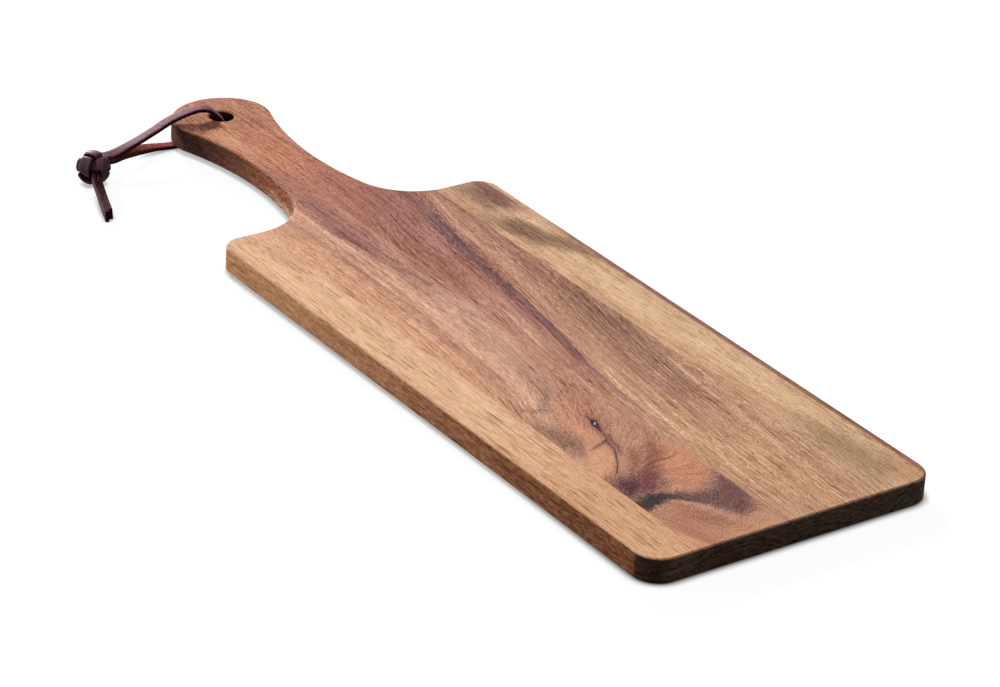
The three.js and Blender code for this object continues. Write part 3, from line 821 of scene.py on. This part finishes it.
def eyeKnot(tree, base, place, ground, x, y, ragged):
    nearer = addNode(tree, "ShaderNodeVectorMath", {0: place, 1: ground}, operation="ADD").outputs[0]
    nearer = scaled(tree, nearer, 0.5)
    for spec in eye["swirl"]:
        base = patch(tree, base, nearer, ragged, spec)
    base = plume(tree, base, nearer, ragged)
    jitter = swing(tree, grit(tree, place, *eye["jitter"]), eye["jitterBy"])
    base = hairline(tree, base, y, x, eye["split"], eye["splitEnds"], eye["splitTone"], jitter)
    beside = calc(tree, "ADD", jitter, fade(tree, x, *eye["beside"]))
    base = hairline(tree, base, y, x, eye["split"], eye["besideEnds"], eye["besideTone"], beside)
    base = hairline(tree, base, x, y, eye["fork"], eye["forkEnds"], eye["forkTone"], jitter)
    still = times(tree, ragged, eye["stiller"])
    for spec in eye["rings"]:
        base = patch(tree, base, place, still, spec)
    return base


# sawn sides drink more oil than the planed faces and end grain most of all; the end and its corner are
# darkened partly by that oil and partly as painted shade, the sides run lighter to the left and darker to
# the right as painted light and shade, the sweep is lightened as painted light, the hole's wall is darkened
# as painted shade and the handle's near flank is darkened, most towards its top; each mark keeps to the way
# its side faces and, in mm, to its stretch of the board
sides = {
    "upright": (0.75, 0.35),
    "side": (0.92, 0.8, 0.68, 1), "sideFaces": (-0.75, -0.3), "sidesPaintedLightAndShade": (-80, 190, 0.42, -0.38),
    "farSide": (0.98, 0.83, 0.84, 1), "farFaces": (-0.6, -0.9), "farFrom": (-40, 130),
    "end": (0.55, 0.7, 0.95, 1), "endFaces": (0.01, 0.14), "endFrom": (100, 150), "ringStep": 0.7,
    "corner": (0.4, 0.38, 0.42, 1), "cornerFaces": (-0.1, -0.6),
    "grip": (0.27, 0.33, 0.46, 1), "gripFaces": (-0.84, -0.96), "gripFrom": (-105, -170),
    "gripTop": (5.0, 10.0, 0.0, 0.3),
    "sweep": (1.93, 3.0, 2.85, 1), "sweepFaces": (-0.3, -0.55), "sweepIn": (-132, -104),
    "sweepOut": (-72, -80), "sweepSpots": (0.12, 0.12, 0.2), "sweepRagged": 8.0, "sweepHeight": (11.0, 7.5),
    "bore": (0.12, 0.1, 0.1, 1), "boreFrom": (6.0, 5.3),
    "mottle": (0.3, 0.3, 0.8), "mottleCut": (0.34, 0.66, -0.3, 0.25),
}


def distance(tree, a, b):
    squares = [calc(tree, "POWER", calc(tree, "SUBTRACT", value, middle), 2.0) for value, middle in (a, b)]
    return calc(tree, "SQRT", calc(tree, "ADD", *squares))


def sawnSides(tree, base, node, x, y, z):
    facing = addNode(tree, "ShaderNodeTexCoord").outputs["Normal"]
    faceX, faceY, faceZ = addNode(tree, "ShaderNodeSeparateXYZ", {0: facing}).outputs
    upright = fade(tree, calc(tree, "ABSOLUTE", faceZ), *sides["upright"])
    onEnd = times(tree, upright, fade(tree, faceX, *sides["endFaces"]), fade(tree, x, *sides["endFrom"]))
    onGrip = times(tree, upright, fade(tree, faceY, *sides["gripFaces"]), fade(tree, x, *sides["gripFrom"]))
    onSide = times(tree, upright, fade(tree, faceX, *sides["sideFaces"]))
    onFar = times(tree, upright, fade(tree, faceY, *sides["farFaces"]), fade(tree, x, *sides["farFrom"]))
    onCorner = times(tree, onEnd, fade(tree, faceY, *sides["cornerFaces"]))
    # side and farSide: oil in the sawn sides; end and corner: oil in the end grain and painted shade of the
    # unlit end; grip: the handle's near flank darkened
    for amount, name in ((onSide, "side"), (onFar, "farSide"), (onEnd, "end"), (onCorner, "corner"),
                         (onGrip, "grip")):
        base = stainAndPaintedShading(tree, amount, base, sides[name])
    if node == "knotty_stave":
        # painted light: the lower part of the shoulder's sweep is lightened
        spots = grit(tree, stretch(tree, x, y, z, sides["sweepSpots"]), 1.0, 4, 0.7)
        low = fade(tree, calc(tree, "MULTIPLY_ADD", spots, sides["sweepRagged"], z), *sides["sweepHeight"])
        sweepPaintedLight = times(tree, fade(tree, x, *sides["sweepIn"]), fade(tree, x, *sides["sweepOut"]),
                        fade(tree, faceY, *sides["sweepFaces"]))
        base = stainAndPaintedShading(tree, times(tree, low, sweepPaintedLight, upright), base, sides["sweep"])
    # painted shade: the wall of the hole is darkened
    holeX, holeY = lace["hole"]
    fromHole = distance(tree, (x, holeX), (y, holeY))
    base = stainAndPaintedShading(tree, times(tree, fade(tree, fromHole, *sides["boreFrom"]), upright), base, sides["bore"])
    mottle = grit(tree, stretch(tree, x, y, z, sides["mottle"]), 1.0, 4, 0.75)
    mottle = fade(tree, mottle, *sides["mottleCut"])
    # painted light and shade: the sides lighter to the left and darker to the right
    mottle = calc(tree, "MULTIPLY_ADD", fade(tree, x, *sides["sidesPaintedLightAndShade"]), onSide, mottle)
    # the handle's near flank is darker towards its top
    mottle = calc(tree, "SUBTRACT", mottle, times(tree, onGrip, fade(tree, z, *sides["gripTop"])))
    pithY, pithZ = timber[node]["pith"]
    fromPith = times(tree, distance(tree, (y, pithY), (z, pithZ)), sides["ringStep"])
    rows = {"W": fromPith, "Detail": 3.0, "Scale": 1.0}
    rings = addNode(tree, "ShaderNodeTexNoise", rows, noise_dimensions="1D").outputs[0]
    rings = times(tree, calc(tree, "SUBTRACT", rings, 0.5), onEnd)
    shade = calc(tree, "ADD", rings, calc(tree, "MULTIPLY_ADD", mottle, upright, 1.0))
    return scaled(tree, base, shade)


for node in staves:
    woodMaterial(node)
print("wood figured")


# floor and studio light: a lamp is place, size and power; the contact shade is thin on the lit sides and
# deeper past the far end, so its reach and depth have a value for each
studio = {
    "floorSize": 6, "floorGlow": 0.92, "floor": (0.14, 0.14, 0.14, 1), "world": 0.14,
    "shut": 0.36, "shadeFrom": (0.1, 0.2), "shadeReach": (0.0026, 0.0038), "shadeDepth": (0.42, 0.15),
    "key": ((-6.35, 1.45, 2.7), 0.9, 738),
    "front": ((-4.6, -5.4, 2.7), 3.6, 240),
    "top": ((0.2, 0.4, 6.0), 4.6, 80),
}


def lookedAt(tree):
    rays = addNode(tree, "ShaderNodeLightPath").outputs
    mirrored = calc(tree, "MAXIMUM", rays["Is Glossy Ray"], rays["Is Transmission Ray"])
    return calc(tree, "MAXIMUM", rays["Is Camera Ray"], mirrored)


def layFloor():
    body = bmesh.new()
    bmesh.ops.create_grid(body, x_segments=1, y_segments=1, size=studio["floorSize"])
    mesh = bpy.data.meshes.new("paleFloor")
    body.to_mesh(mesh)
    body.free()
    floor = bpy.data.objects.new("paleFloor", mesh)
    scene.collection.objects.link(floor)
    material, tree, shader = newMaterial("pale_floor")
    shader.inputs["Base Color"].default_value = studio["floor"]
    shader.inputs["Roughness"].default_value = 1
    shader.inputs["Specular IOR Level"].default_value = 0
    place = addNode(tree, "ShaderNodeTexCoord").outputs["Object"]
    along = addNode(tree, "ShaderNodeSeparateXYZ", {0: place}).outputs[0]
    reach = fade(tree, along, *studio["shadeFrom"], *studio["shadeReach"])
    darkest = fade(tree, along, *studio["shadeFrom"], *studio["shadeDepth"])
    clear = addNode(tree, "ShaderNodeAmbientOcclusion", {"Distance": reach}).outputs["AO"]
    level = fade(tree, clear, studio["shut"], 1.0, darkest, studio["floorGlow"])
    glow = addNode(tree, "ShaderNodeEmission", {"Strength": times(tree, lookedAt(tree), level)})
    both = addNode(tree, "ShaderNodeAddShader", {0: shader.outputs[0], 1: glow.outputs[0]})
    out = next(n for n in tree.nodes if n.type == "OUTPUT_MATERIAL")
    tree.links.new(both.outputs[0], out.inputs[0])
    mesh.materials.append(material)


def setWorld():
    world = bpy.data.worlds.new("studio")
    scene.world = world
    world.use_nodes = True
    tree = world.node_tree
    tree.nodes.clear()
    rows = {0: lookedAt(tree), 1: 0.0, 2: 1.0, 3: studio["world"], 4: 1.0}
    strength = addNode(tree, "ShaderNodeMapRange", rows).outputs[0]
    sky = addNode(tree, "ShaderNodeBackground", {"Color": (1, 1, 1, 1), "Strength": strength})
    addNode(tree, "ShaderNodeOutputWorld", {"Surface": sky.outputs[0]})


def hangLamp(name):
    place, size, power = studio[name]
    light = bpy.data.lights.new(name + "Light", "AREA")
    light.shape = "DISK"
    light.size = size
    light.energy = power
    lamp = bpy.data.objects.new(name + "Light", light)
    scene.collection.objects.link(lamp)
    lamp.location = place
    lamp.rotation_euler = (-Vector(place)).to_track_quat("-Z", "Y").to_euler()


layFloor()
setWorld()
for name in ("key", "front", "top"):
    hangLamp(name)
print("studio lit")
